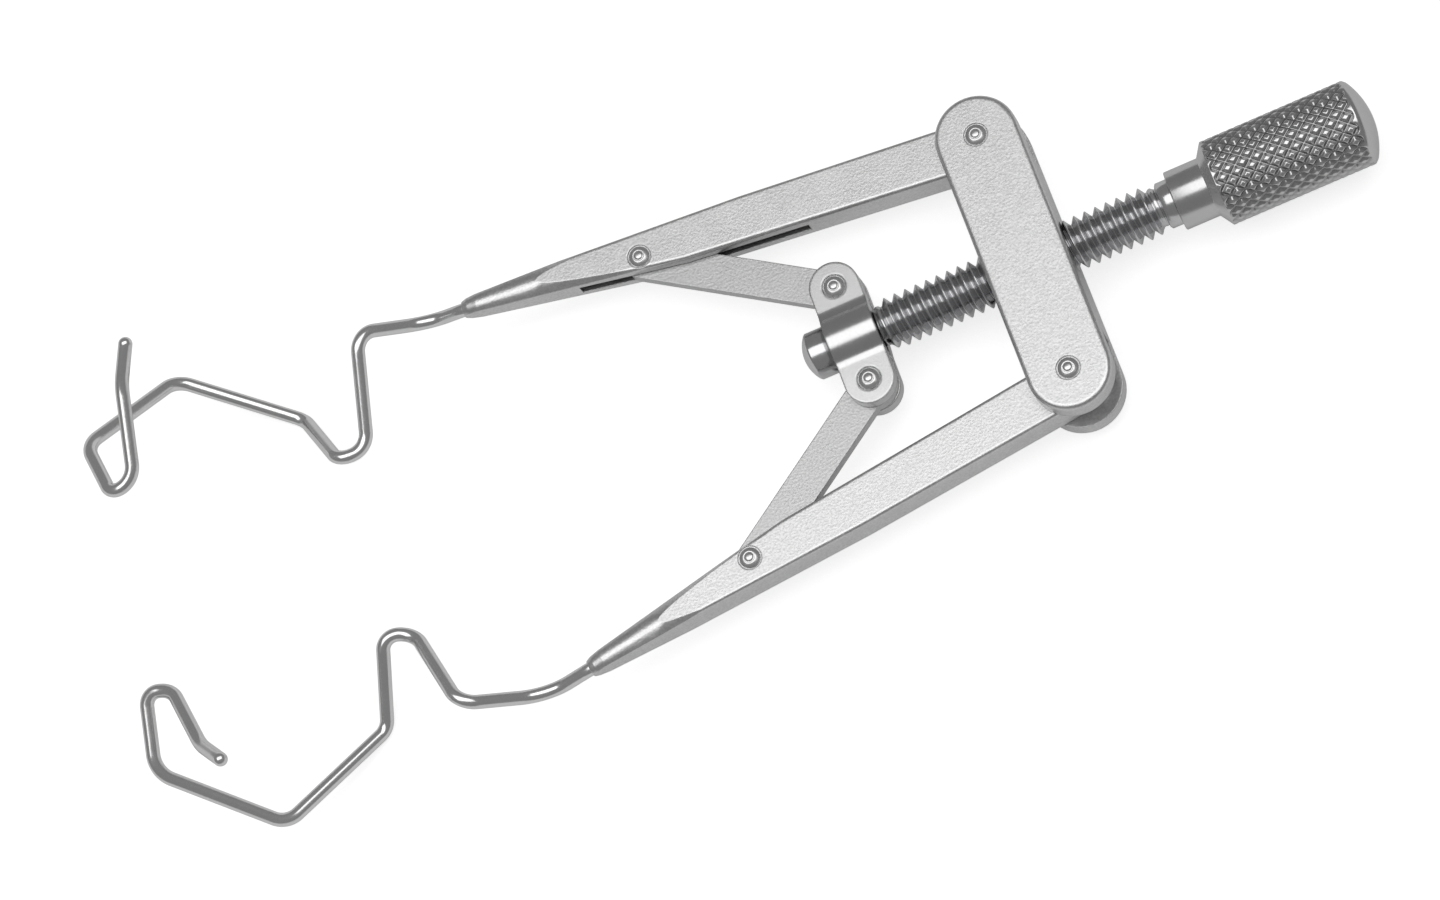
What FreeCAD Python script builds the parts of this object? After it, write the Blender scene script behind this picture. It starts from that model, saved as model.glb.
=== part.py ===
import FreeCAD, Part
import math
import os

import Sketcher
from FreeCAD import Placement, Rotation, Vector

# Screw-adjusted wire lid speculum, stainless steel, sizes in millimetres.
# Working frame: X along the drive screw towards the blades, Y across, Z out of the
# front plates. Its origin is where the screw axis crosses the middle of the yoke.
# "lower" pieces stand at +Y and "upper" pieces at -Y.

os.makedirs("parts", exist_ok=True)
doc = FreeCAD.newDocument("speculum")

# Sizes

SIZES = [
    # where the working origin sits in the stored frame
    ("seat_x", -17.445),
    ("seat_y", 0.745),
    ("seat_z", 3.38),
    # yoke: round-ended bar with a slot in each end
    ("yoke_width", 4.74),
    ("yoke_thick", 4.8),
    ("yoke_pivot_y", 7.4),
    ("yoke_slot_floor", 5.6),
    ("yoke_edge", 0.3),
    # arms: flat bars that taper to a round nose
    ("arm_angle", 7.5),
    ("arm_lean", 0.62),
    ("arm_thick", 2.1),
    ("arm_half_width", 1.46),
    ("arm_heel_out", 0.12),
    ("arm_outer_bend", 14.0),
    ("arm_outer_edge", 1.3),
    ("arm_inner_bend", 17.8),
    ("arm_inner_edge", 1.44),
    ("arm_length", 31.1),
    ("arm_nose_start", 17.5),
    ("arm_nose_round", 1.78),
    ("arm_nose_end", 30.2),
    ("arm_nose_radius", 0.74),
    ("arm_lip_radius", 0.48),
    ("arm_edge", 0.22),
    ("arm_slot_start", 10.6),
    ("arm_slot_end", 24.2),
    ("arm_slot_floor", 0.64),
    ("arm_pin_along", 20.31),
    ("arm_pin_inward", 0.46),
    # links and the saddles that hold them
    ("link_thick", 0.7),
    ("link_length", 11.766),
    ("link_width", 2.1),
    ("link_eye", 2.7),
    ("link_play_hole", 1.1),
    ("carriage_pivot_y", 2.93),
    ("saddle_thick", 0.8),
    ("saddle_gap", 0.8),
    ("saddle_width", 2.86),
    ("hump_blend", 0.9),
    # rivets
    ("rivet_shank", 0.4),
    ("rivet_head", 0.58),
    ("rivet_dome", 0.2),
    ("rivet_sink", 0.1),
    ("sink_ring", 0.68),
    # drive screw
    ("thread_pitch", 0.635),
    ("thread_major", 1.475),
    ("thread_minor", 1.07),
    ("thread_end_x", -7.87),
    ("neck_radius", 1.34),
    ("neck_end_x", -8.64),
    ("journal_radius", 1.0),
    ("head_radius", 1.375),
    ("head_length", 1.22),
    ("head_dome", 0.42),
    ("head_bevel", 0.12),
    ("tang_radius", 1.15),
    ("tang_length", 7.0),
    # thumb knob
    ("collar_radius", 1.715),
    ("collar_length", 1.98),
    ("shoulder_length", 0.5),
    ("knob_radius", 2.47),
    ("knob_length", 8.67),
    ("knob_bevel", 0.3),
    ("knob_dome", 0.56),
    # clearances
    ("running_fit", 0.03),
    ("side_fit", 0.03),
    ("end_fit", 0.05),
    # blade wires
    ("wire_radius", 0.4),
    ("socket_depth", 1.6),
    ("blade_tilt", 33.0),
    ("wire_root_along", 30.9),
    ("wire_root_out", 11.4),
    ("shank_bend_along", 33.6),
    ("shank_bend_out", 11.83),
    ("shank_bend_drop", 1.44),
    ("heel_along", 42.76),
    ("heel_out", 9.62),
    ("heel_drop", 2.7),
    ("shank_back", 2.02),
    ("shank_out", 1.9),
    ("shank_top", 6.58),
    ("hook_back", 1.82),
    ("hook_reach", 3.83),
    ("hook_rise", 3.43),
    ("hook_lip_back", 0.11),
    ("hook_lip_reach", 4.23),
    ("hook_lip_rise", 2.99),
    ("heel_flare", 0.09),
    ("heel_sag", 0.39),
    ("blade_width", 13.36),
    ("apex_along", 6.6),
    ("apex_out", 4.23),
    ("apex_drop", 1.63),
    ("toe_out", 0.4),
    ("toe_drop", 0.23),
    ("far_hook_back", 0.13),
    ("far_hook_reach", 3.66),
    ("far_hook_rise", 1.59),
    ("far_lip_back", 1.34),
    ("far_lip_reach", 3.22),
    ("far_lip_rise", 2.58),
    ("tail_bend_back", 1.45),
    ("tail_bend_out", 1.32),
    ("tail_bend_rise", 4.74),
    ("tail_end_back", 1.78),
    ("tail_end_out", 2.97),
    ("tail_end_rise", 6.5),
    # inside shape of each bend, as the radius of the wire's centre line
    ("socket_turn", 2.0),
    ("shank_turn", 5.0),
    ("shank_top_turn", 1.15),
    ("hook_turn", 1.75),
    ("hook_lip_turn", 1.2),
    ("heel_turn", 1.0),
    ("apex_turn", 1.4),
    ("toe_turn", 1.7),
    ("far_hook_turn", 1.0),
    ("far_lip_turn", 1.4),
    ("tail_turn", 3.0),
    # how the two hand-bent wires differ, added on the lower side and taken off on the upper
    ("wire_swing", 1.92),
    ("shank_stretch", 0.6),
    ("far_stretch", 0.35),
    ("far_gather", 0.13),
    ("tail_gather", 0.24),
]

sheet = doc.addObject("Spreadsheet::Sheet", "sizes")
for row, (alias, value) in enumerate(SIZES, start=1):
    sheet.set("A%d" % row, alias)
    sheet.set("B%d" % row, str(value))
    sheet.setAlias("B%d" % row, alias)
doc.recompute()


def size(alias):
    """The number held in a named cell."""
    return float(sheet.get(alias))


# Shared construction steps


def origin_plane(body, role):
    """A body's own origin plane, found by its role."""
    for feature in body.Origin.OriginFeatures:
        if feature.Role == role:
            return feature
    raise ValueError(role)


def new_sketch(body, name, role="XY_Plane"):
    """An empty sketch on one of the body's origin planes."""
    sketch = body.newObject("Sketcher::SketchObject", name)
    sketch.AttachmentSupport = [(origin_plane(body, role), "")]
    sketch.MapMode = "FlatFace"
    return sketch


def bind(sketch, index, name, expression):
    """Names a dimension and ties it to the sheet."""
    sketch.renameConstraint(index, name)
    sketch.setExpression("Constraints." + name, expression)


def add_circle(sketch, name, centre, radius, bound=None):
    """A circle held at its centre, its radius and any given centre distance tied to the sheet."""
    bound = bound or {}
    ring = sketch.addGeometry(Part.Circle(Vector(centre[0], centre[1], 0), Vector(0, 0, 1), radius), False)
    for axis, kind, guide in ((0, "DistanceX", -2), (1, "DistanceY", -1)):
        if abs(centre[axis]) < 1e-9:
            sketch.addConstraint(Sketcher.Constraint("PointOnObject", ring, 3, guide))
        else:
            index = sketch.addConstraint(Sketcher.Constraint(kind, -1, 1, ring, 3, centre[axis]))
            if "xy"[axis] in bound:
                bind(sketch, index, name + "_" + "xy"[axis], bound["xy"[axis]])
    index = sketch.addConstraint(Sketcher.Constraint("Radius", ring, radius))
    if "radius" in bound:
        bind(sketch, index, name + "_radius", bound["radius"])


def add_polygon(sketch, points, bound=None):
    """A closed outline of straight lines with every corner dimensioned from the origin."""
    bound = bound or {}
    count = len(points)
    for i in range(count):
        a, b = points[i], points[(i + 1) % count]
        sketch.addGeometry(Part.LineSegment(Vector(a[0], a[1], 0), Vector(b[0], b[1], 0)), False)
    for i in range(count):
        sketch.addConstraint(Sketcher.Constraint("Coincident", i, 2, (i + 1) % count, 1))
    for i, point in enumerate(points):
        for axis, kind, guide in ((0, "DistanceX", -2), (1, "DistanceY", -1)):
            if abs(point[axis]) < 1e-9:
                sketch.addConstraint(Sketcher.Constraint("PointOnObject", i, 1, guide))
                continue
            index = sketch.addConstraint(Sketcher.Constraint(kind, -1, 1, i, 1, point[axis]))
            key = (i, "xy"[axis])
            if key in bound:
                bind(sketch, index, "corner%d_%s" % (i, "xy"[axis]), bound[key])


def pad(body, name, sketch, expression):
    """A pad to both sides of its sketch, its full height tied to the sheet."""
    feature = body.newObject("PartDesign::Pad", name)
    feature.Profile = sketch
    feature.Midplane = True
    feature.setExpression("Length", expression)
    sketch.Visibility = False
    body.Tip = feature
    doc.recompute()
    return feature


def pocket(body, name, sketch, expression=None):
    """A pocket to both sides of its sketch, right through when no depth is given."""
    feature = body.newObject("PartDesign::Pocket", name)
    feature.Profile = sketch
    feature.Midplane = True
    if expression is None:
        feature.Type = 1
    else:
        feature.setExpression("Length", expression)
    sketch.Visibility = False
    body.Tip = feature
    doc.recompute()
    return feature


def revolve(body, name, sketch, axis="H_Axis", groove=False):
    """A full turn of a sketch about one of its own axes."""
    feature = body.newObject("PartDesign::Groove" if groove else "PartDesign::Revolution", name)
    feature.Profile = sketch
    feature.ReferenceAxis = (sketch, [axis])
    feature.Angle = 360.0
    sketch.Visibility = False
    body.Tip = feature
    doc.recompute()
    return feature


def rim_edges(shape, height):
    """Edges that lie flat at plus or minus the given height."""
    names = []
    for i, edge in enumerate(shape.Edges, start=1):
        box = edge.BoundBox
        if box.ZLength < 1e-6 and abs(abs(box.ZMin) - height) < 1e-6:
            names.append("Edge%d" % i)
    return names


def soften(body, name, base, height, expression, kind="Fillet"):
    """Rounds or bevels the front and back rims of a plate."""
    feature = body.newObject("PartDesign::" + kind, name)
    feature.Base = (base, rim_edges(base.Shape, height))
    feature.setExpression("Radius" if kind == "Fillet" else "Size", expression)
    body.Tip = feature
    doc.recompute()
    return feature


def sink_heads(body, name, centres, half, bound):
    """Shallow flat-bottomed recesses for rivet heads in the front and the back face."""
    for side in (1, -1):
        word = "front" if side > 0 else "back"
        sketch = new_sketch(body, "%s_%s" % (name, word))
        sketch.AttachmentOffset = Placement(Vector(0, 0, side * half), Rotation())
        for i, centre in enumerate(centres):
            tied = dict(bound[i])
            tied["radius"] = "sizes.sink_ring"
            add_circle(sketch, "ring%d" % i, centre, size("sink_ring"), tied)
        feature = body.newObject("PartDesign::Pocket", "%s_cut_%s" % (name, word))
        feature.Profile = sketch
        feature.Midplane = True
        feature.setExpression("Length", "2 * sizes.rivet_sink")
        sketch.Visibility = False
        body.Tip = feature
        doc.recompute()


def new_body(name, position=(0.0, 0.0, 0.0), rotation=None):
    """A body that carries its node name and its place in the stored frame."""
    body = doc.addObject("PartDesign::Body", name)
    body.Label = name
    seat = Vector(size("seat_x"), size("seat_y"), size("seat_z"))
    body.Placement = Placement(Vector(*position) + seat, rotation or Rotation())
    return body


def turned(angle, flipped=False):
    """A turn about Z after an optional half turn about X."""
    spin = Rotation(Vector(0, 0, 1), angle)
    return spin.multiply(Rotation(Vector(1, 0, 0), 180)) if flipped else spin


# Positions that follow from the sizes


def side(sign, point):
    """The same point on the lower (1) or the upper (-1) side."""
    return Vector(point.x, sign * point.y, point.z)


def arm_angle(sign):
    """Angle of an arm outwards from the screw; play lets both arms lean the same way."""
    return size("arm_angle") + sign * size("arm_lean")


def arm_point(sign, along, outward):
    """A point of an arm in the working frame."""
    local = turned(arm_angle(sign)).multVec(Vector(along, outward, 0))
    return side(sign, Vector(0, size("yoke_pivot_y"), 0) + local)


def arm_pin(sign):
    """Centre of the pin that carries a link in its arm."""
    return arm_point(sign, size("arm_pin_along"), -size("arm_pin_inward"))


def carriage_x():
    """Where the links hold the carriage along the screw when both arms stand alike."""
    along, inward = size("arm_pin_along"), size("arm_pin_inward")
    pin = turned(size("arm_angle")).multVec(Vector(along, -inward, 0))
    across = size("yoke_pivot_y") + pin.y - size("carriage_pivot_y")
    return pin.x - math.sqrt(size("link_length") ** 2 - across ** 2)


def carriage_pin(sign):
    """Centre of the rivet that holds a link between the saddles."""
    return side(sign, Vector(carriage_x(), size("carriage_pivot_y"), 0))


def link_angle(sign):
    """Direction from an arm pin to the carriage pin of the same side."""
    run = carriage_pin(sign) - arm_pin(sign)
    return math.degrees(math.atan2(run.y, run.x))


# Yoke


def make_yoke():
    """One machined bar: round ends, slots for the arms, two pivot holes and the screw's cross bore."""
    half_width, pivot = size("yoke_width") / 2, size("yoke_pivot_y")
    body = new_body("yoke")
    outline = new_sketch(body, "yoke_outline")
    ends = []
    for sign in (1, -1):
        start, stop = (0, math.pi) if sign > 0 else (math.pi, 2 * math.pi)
        circle = Part.Circle(Vector(0, sign * pivot, 0), Vector(0, 0, 1), half_width)
        ends.append(outline.addGeometry(Part.ArcOfCircle(circle, start, stop), False))
    sides = []
    for sign in (1, -1):
        first = Vector(sign * half_width, -sign * pivot, 0)
        last = Vector(sign * half_width, sign * pivot, 0)
        line = Part.LineSegment(first, last)
        sides.append(outline.addGeometry(line, False))
    # lines run from each end arc's finish to the other's start
    outline.addConstraint(Sketcher.Constraint("Tangent", ends[1], 2, sides[0], 1))
    outline.addConstraint(Sketcher.Constraint("Tangent", sides[0], 2, ends[0], 1))
    outline.addConstraint(Sketcher.Constraint("Tangent", ends[0], 2, sides[1], 1))
    outline.addConstraint(Sketcher.Constraint("Tangent", sides[1], 2, ends[1], 1))
    for arc, sign in zip(ends, (1, -1)):
        outline.addConstraint(Sketcher.Constraint("PointOnObject", arc, 3, -2))
        index = outline.addConstraint(Sketcher.Constraint("DistanceY", -1, 1, arc, 3, sign * pivot))
        word, prefix = ("low", "") if sign > 0 else ("up", "-")
        bind(outline, index, "end_" + word, prefix + "sizes.yoke_pivot_y")
    index = outline.addConstraint(Sketcher.Constraint("Radius", ends[0], half_width))
    bind(outline, index, "end_radius", "sizes.yoke_width / 2")
    bar = pad(body, "yoke_bar", outline, "sizes.yoke_thick")
    soften(body, "yoke_rims", bar, size("yoke_thick") / 2, "sizes.yoke_edge")
    # one slot in each end takes an arm
    reach = pivot + size("yoke_width")
    for sign, word in ((1, "low"), (-1, "up")):
        slot = new_sketch(body, "yoke_slot_" + word)
        floor = sign * size("yoke_slot_floor")
        corners = [(-reach, floor), (reach, floor), (reach, sign * reach), (-reach, sign * reach)]
        tie = ("" if sign > 0 else "-") + "sizes.yoke_slot_floor"
        add_polygon(slot, corners, {(0, "y"): tie, (1, "y"): tie})
        pocket(body, "yoke_slot_cut_" + word, slot, "sizes.arm_thick + 2 * sizes.side_fit")
    pivots = [(0.0, pivot), (0.0, -pivot)]
    tied = [{"y": "sizes.yoke_pivot_y"}, {"y": "-sizes.yoke_pivot_y"}]
    holes = new_sketch(body, "yoke_pivot_holes")
    for i, centre in enumerate(pivots):
        hole_tied = dict(tied[i], radius="sizes.rivet_shank")
        add_circle(holes, "hole%d" % i, centre, size("rivet_shank"), hole_tied)
    pocket(body, "yoke_pivots", holes)
    sink_heads(body, "yoke_sinks", pivots, size("yoke_thick") / 2, tied)
    bore = new_sketch(body, "yoke_bore", "YZ_Plane")
    fit = size("thread_major") + size("running_fit")
    add_circle(bore, "bore", (0.0, 0.0), fit, {"radius": "sizes.thread_major + sizes.running_fit"})
    pocket(body, "yoke_screw_bore", bore)
    return body


# Arms


def make_arm(name, sign):
    """A flat bar that tapers to a bored nose, slotted along its inner edge for the link."""
    rotation = turned(sign * arm_angle(sign), flipped=sign < 0)
    body = new_body(name, (0, sign * size("yoke_pivot_y"), 0), rotation)
    wide, shift = size("arm_half_width"), size("arm_heel_out")
    lip, length = size("arm_lip_radius"), size("arm_length")
    outline = new_sketch(body, name + "_outline")
    corners = [
        (0.0, shift - wide),
        (size("arm_inner_bend"), -size("arm_inner_edge")),
        (length, -lip),
        (length, lip),
        (size("arm_outer_bend"), size("arm_outer_edge")),
        (0.0, shift + wide),
    ]
    tied = {
        (0, "y"): "sizes.arm_heel_out - sizes.arm_half_width",
        (1, "x"): "sizes.arm_inner_bend",
        (1, "y"): "-sizes.arm_inner_edge",
        (2, "x"): "sizes.arm_length",
        (2, "y"): "-sizes.arm_lip_radius",
        (3, "x"): "sizes.arm_length",
        (3, "y"): "sizes.arm_lip_radius",
        (4, "x"): "sizes.arm_outer_bend",
        (4, "y"): "sizes.arm_outer_edge",
        (5, "y"): "sizes.arm_heel_out + sizes.arm_half_width",
    }
    add_polygon(outline, corners, tied)
    pad(body, name + "_blade", outline, "sizes.arm_thick")
    heel = new_sketch(body, name + "_heel")
    heel_tied = {"radius": "sizes.arm_half_width", "y": "sizes.arm_heel_out"}
    add_circle(heel, "heel", (0.0, shift), wide, heel_tied)
    bar = pad(body, name + "_bar", heel, "sizes.arm_thick")
    soften(body, name + "_rims", bar, size("arm_thick") / 2, "sizes.arm_edge")
    # turned nose: everything outside a narrowing round section is cut away
    nose = new_sketch(body, name + "_nose")
    begin, end = size("arm_nose_start"), size("arm_nose_end")
    outside = length + wide
    clear = 2 * size("arm_nose_round")
    points = [
        (begin, size("arm_nose_round")),
        (end, size("arm_nose_radius")),
        (end + 0.65 * (length - end), 0.5 * (size("arm_nose_radius") + lip)),
        (length, lip),
        (outside, lip),
        (outside, clear),
        (begin, clear),
    ]
    tied = {
        (0, "y"): "sizes.arm_nose_round",
        (1, "x"): "sizes.arm_nose_end",
        (1, "y"): "sizes.arm_nose_radius",
        (3, "x"): "sizes.arm_length",
        (3, "y"): "sizes.arm_lip_radius",
    }
    add_polygon(nose, points, tied)
    revolve(body, name + "_nose_cut", nose, groove=True)
    # saw slot for the link, open along the inner edge
    slot = new_sketch(body, name + "_slot")
    low = -2 * wide
    first, last, floor = size("arm_slot_start"), size("arm_slot_end"), size("arm_slot_floor")
    points = [(first, low), (last, low), (last, floor), (first, floor)]
    tied = {
        (0, "x"): "sizes.arm_slot_start",
        (3, "x"): "sizes.arm_slot_start",
        (1, "x"): "sizes.arm_slot_end",
        (2, "x"): "sizes.arm_slot_end",
        (2, "y"): "sizes.arm_slot_floor",
        (3, "y"): "sizes.arm_slot_floor",
    }
    add_polygon(slot, points, tied)
    pocket(body, name + "_slot_cut", slot, "sizes.link_thick + 2 * sizes.end_fit")
    # pivot hole runs on its rivet, the link's pin hole is riveted tight
    holes = new_sketch(body, name + "_holes")
    pin = (size("arm_pin_along"), -size("arm_pin_inward"))
    pin_tied = {"x": "sizes.arm_pin_along", "y": "-sizes.arm_pin_inward"}
    fit = size("rivet_shank") + size("running_fit")
    add_circle(holes, "pivot", (0.0, 0.0), fit, {"radius": "sizes.rivet_shank + sizes.running_fit"})
    add_circle(holes, "pin", pin, size("rivet_shank"), dict(pin_tied, radius="sizes.rivet_shank"))
    pocket(body, name + "_hole_cut", holes)
    sink_heads(body, name + "_sinks", [pin], size("arm_thick") / 2, [pin_tied])
    # socket for the blade wire
    socket = new_sketch(body, name + "_socket")
    bottom, mouth = length - size("socket_depth"), length + size("arm_edge")
    points = [(bottom, 0.0), (mouth, 0.0), (mouth, size("wire_radius")), (bottom, size("wire_radius"))]
    add_polygon(socket, points, {(2, "y"): "sizes.wire_radius", (3, "y"): "sizes.wire_radius"})
    revolve(body, name + "_socket_cut", socket, groove=True)
    return body


# Links


def make_link(name, sign):
    """A flat link: a pin hole at the arm end and a wider eye at the carriage end."""
    body = new_body(name, tuple(arm_pin(sign)), turned(link_angle(sign)))
    length = size("link_length")
    half, eye = size("link_width") / 2, size("link_eye") / 2
    shank = new_sketch(body, name + "_shank")
    points = [(0.0, -half), (length, -half), (length, half), (0.0, half)]
    tied = {
        (0, "y"): "-sizes.link_width / 2",
        (1, "y"): "-sizes.link_width / 2",
        (2, "y"): "sizes.link_width / 2",
        (3, "y"): "sizes.link_width / 2",
    }
    add_polygon(shank, points, tied)
    pad(body, name + "_bar", shank, "sizes.link_thick")
    for word, centre, radius, expression in (
        ("tail", (0.0, 0.0), half, "sizes.link_width / 2"),
        ("eye", (length, 0.0), eye, "sizes.link_eye / 2"),
    ):
        disc = new_sketch(body, name + "_" + word)
        add_circle(disc, word, centre, radius, {"radius": expression, "x": "sizes.link_length"})
        pad(body, name + "_%s_pad" % word, disc, "sizes.link_thick")
    holes = new_sketch(body, name + "_holes")
    fit = size("rivet_shank") + size("running_fit")
    add_circle(holes, "pin", (0.0, 0.0), fit, {"radius": "sizes.rivet_shank + sizes.running_fit"})
    play_tied = {"radius": "sizes.link_play_hole", "x": "sizes.link_length"}
    add_circle(holes, "play", (length, 0.0), size("link_play_hole"), play_tied)
    pocket(body, name + "_hole_cut", holes)
    return body


# Saddles


def make_saddle(name, flipped):
    """A strap bent over the screw journal, its flat ends riveted down on the links."""
    rotation = Rotation(Vector(1, 0, 0), 180) if flipped else Rotation()
    body = new_body(name, (carriage_x(), 0, 0), rotation)
    half, pivot = size("saddle_width") / 2, size("carriage_pivot_y")
    low, high = size("saddle_gap") / 2, size("saddle_gap") / 2 + size("saddle_thick")
    inner = size("journal_radius") + size("running_fit")
    outer = inner + size("saddle_thick")
    foot = pivot + half
    # cross-section of the strap, drawn across the screw
    section = new_sketch(body, name + "_section", "YZ_Plane")
    inner_y = math.sqrt(inner ** 2 - low ** 2)
    outer_y = math.sqrt(outer ** 2 - high ** 2)
    lines = [
        ((-foot, low), (-inner_y, low)),
        ((inner_y, low), (foot, low)),
        ((foot, low), (foot, high)),
        ((foot, high), (outer_y, high)),
        ((-outer_y, high), (-foot, high)),
        ((-foot, high), (-foot, low)),
    ]
    for a, b in lines:
        section.addGeometry(Part.LineSegment(Vector(a[0], a[1], 0), Vector(b[0], b[1], 0)), False)
    under = math.atan2(low, inner_y)
    over = math.atan2(high, outer_y)
    arch = Part.Circle(Vector(0, 0, 0), Vector(0, 0, 1), inner)
    crown = Part.Circle(Vector(0, 0, 0), Vector(0, 0, 1), outer)
    section.addGeometry(Part.ArcOfCircle(arch, under, math.pi - under), False)
    section.addGeometry(Part.ArcOfCircle(crown, over, math.pi - over), False)
    joins = [
        (0, 2, 6, 2),
        (6, 1, 1, 1),
        (1, 2, 2, 1),
        (2, 2, 3, 1),
        (3, 2, 7, 1),
        (7, 2, 4, 1),
        (4, 2, 5, 1),
        (5, 2, 0, 1),
    ]
    for one, one_end, two, two_end in joins:
        section.addConstraint(Sketcher.Constraint("Coincident", one, one_end, two, two_end))
    for arc in (6, 7):
        section.addConstraint(Sketcher.Constraint("Coincident", arc, 3, -1, 1))
    for line in (0, 1, 3, 4):
        section.addConstraint(Sketcher.Constraint("Horizontal", line))
    for line in (2, 5):
        section.addConstraint(Sketcher.Constraint("Vertical", line))
    section.addConstraint(Sketcher.Constraint("Symmetric", 0, 1, 1, 2, -2))
    arch_tie = "sizes.journal_radius + sizes.running_fit"
    under_tie = "sizes.saddle_gap / 2"
    foot_tie = "sizes.carriage_pivot_y + sizes.saddle_width / 2"
    dims = (
        ("arch", Sketcher.Constraint("Radius", 6, inner), arch_tie),
        ("crown", Sketcher.Constraint("Radius", 7, outer), arch_tie + " + sizes.saddle_thick"),
        ("under", Sketcher.Constraint("DistanceY", -1, 1, 0, 1, low), under_tie),
        ("over", Sketcher.Constraint("DistanceY", -1, 1, 3, 1, high), under_tie + " + sizes.saddle_thick"),
        ("foot", Sketcher.Constraint("DistanceX", -1, 1, 1, 2, foot), foot_tie),
    )
    for label, constraint, expression in dims:
        bind(section, section.addConstraint(constraint), label, expression)
    strap = pad(body, name + "_strap", section, "sizes.saddle_width")
    # blend the crown into the flats
    seams = []
    for i, edge in enumerate(strap.Shape.Edges, start=1):
        box = edge.BoundBox
        along_screw = box.YLength < 1e-6 and box.ZLength < 1e-6
        on_seam = abs(box.ZMin - high) < 1e-6 and abs(abs(box.YMin) - outer_y) < 1e-4
        if along_screw and on_seam:
            seams.append("Edge%d" % i)
    blend = body.newObject("PartDesign::Fillet", name + "_blend")
    blend.Base = (strap, seams)
    blend.setExpression("Radius", "sizes.hump_blend")
    body.Tip = blend
    doc.recompute()
    # round the two ends in plan
    waste = new_sketch(body, name + "_corners")
    outline_far = foot + half
    round_off = []
    for sign in (1, -1):
        first = len(round_off) * 4
        y_mid, y_far = sign * pivot, sign * outline_far
        arc_range = (0, math.pi) if sign > 0 else (math.pi, 2 * math.pi)
        circle = Part.Circle(Vector(0, y_mid, 0), Vector(0, 0, 1), half)
        arc = waste.addGeometry(Part.ArcOfCircle(circle, *arc_range), False)
        left, right = (-half, half) if sign > 0 else (half, -half)
        path = [
            (left, y_mid),
            (2 * left, y_mid),
            (2 * left, y_far),
            (2 * right, y_far),
            (2 * right, y_mid),
            (right, y_mid),
        ]
        ids = []
        for a, b in zip(path, path[1:]):
            line = Part.LineSegment(Vector(a[0], a[1], 0), Vector(b[0], b[1], 0))
            ids.append(waste.addGeometry(line, False))
        waste.addConstraint(Sketcher.Constraint("Coincident", arc, 2, ids[0], 1))
        for a, b in zip(ids, ids[1:]):
            waste.addConstraint(Sketcher.Constraint("Coincident", a, 2, b, 1))
        waste.addConstraint(Sketcher.Constraint("Coincident", ids[-1], 2, arc, 1))
        waste.addConstraint(Sketcher.Constraint("PointOnObject", arc, 3, -2))
        index = waste.addConstraint(Sketcher.Constraint("DistanceY", -1, 1, arc, 3, y_mid))
        bind(waste, index, "mid%d" % first, "%s sizes.carriage_pivot_y" % ("" if sign > 0 else "-"))
        index = waste.addConstraint(Sketcher.Constraint("Radius", arc, half))
        bind(waste, index, "radius%d" % first, "sizes.saddle_width / 2")
        round_off.append(arc)
    pocket(body, name + "_corner_cut", waste)
    pivots = [(0.0, pivot), (0.0, -pivot)]
    tied = [{"y": "sizes.carriage_pivot_y"}, {"y": "-sizes.carriage_pivot_y"}]
    holes = new_sketch(body, name + "_holes")
    for i, centre in enumerate(pivots):
        hole_tied = dict(tied[i], radius="sizes.rivet_shank")
        add_circle(holes, "hole%d" % i, centre, size("rivet_shank"), hole_tied)
    pocket(body, name + "_hole_cut", holes)
    sinks = new_sketch(body, name + "_sinks")
    sinks.AttachmentOffset = Placement(Vector(0, 0, high), Rotation())
    for i, centre in enumerate(pivots):
        add_circle(sinks, "ring%d" % i, centre, size("sink_ring"), dict(tied[i], radius="sizes.sink_ring"))
    feature = body.newObject("PartDesign::Pocket", name + "_sink_cut")
    feature.Profile = sinks
    feature.Midplane = True
    feature.setExpression("Length", "2 * sizes.rivet_sink")
    sinks.Visibility = False
    body.Tip = feature
    doc.recompute()
    return body


# Rivets


def make_rivet(name, position, half_grip):
    """A round pin with the same domed head at both ends."""
    body = new_body(name, position)
    shank, head = size("rivet_shank"), size("rivet_head")
    seat, lip, top = half_grip - size("rivet_sink"), half_grip, half_grip + size("rivet_dome")
    profile = new_sketch(body, name + "_profile", "XZ_Plane")
    dome_radius = (head ** 2 + size("rivet_dome") ** 2) / (2 * size("rivet_dome"))
    centre = top - dome_radius
    front = [(shank, 0.0), (shank, seat), (head, seat), (head, lip)]
    # the dome is drawn as short chords of one arc
    steps = 4
    for i in range(1, steps + 1):
        out = head * (1 - i / steps)
        front.append((out, centre + math.sqrt(dome_radius ** 2 - out ** 2)))
    back = [(x, -y) for x, y in reversed(front[1:])]
    last = len(front) + len(back) - 1
    tied = {(0, "x"): "sizes.rivet_shank", (1, "x"): "sizes.rivet_shank", (2, "x"): "sizes.rivet_head"}
    tied.update({(3, "x"): "sizes.rivet_head", (last, "x"): "sizes.rivet_shank"})
    tied.update({(last - 1, "x"): "sizes.rivet_head", (last - 2, "x"): "sizes.rivet_head"})
    add_polygon(profile, front + back, tied)
    revolve(body, name + "_turned", profile, axis="V_Axis")
    return body


# Drive screw


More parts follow.
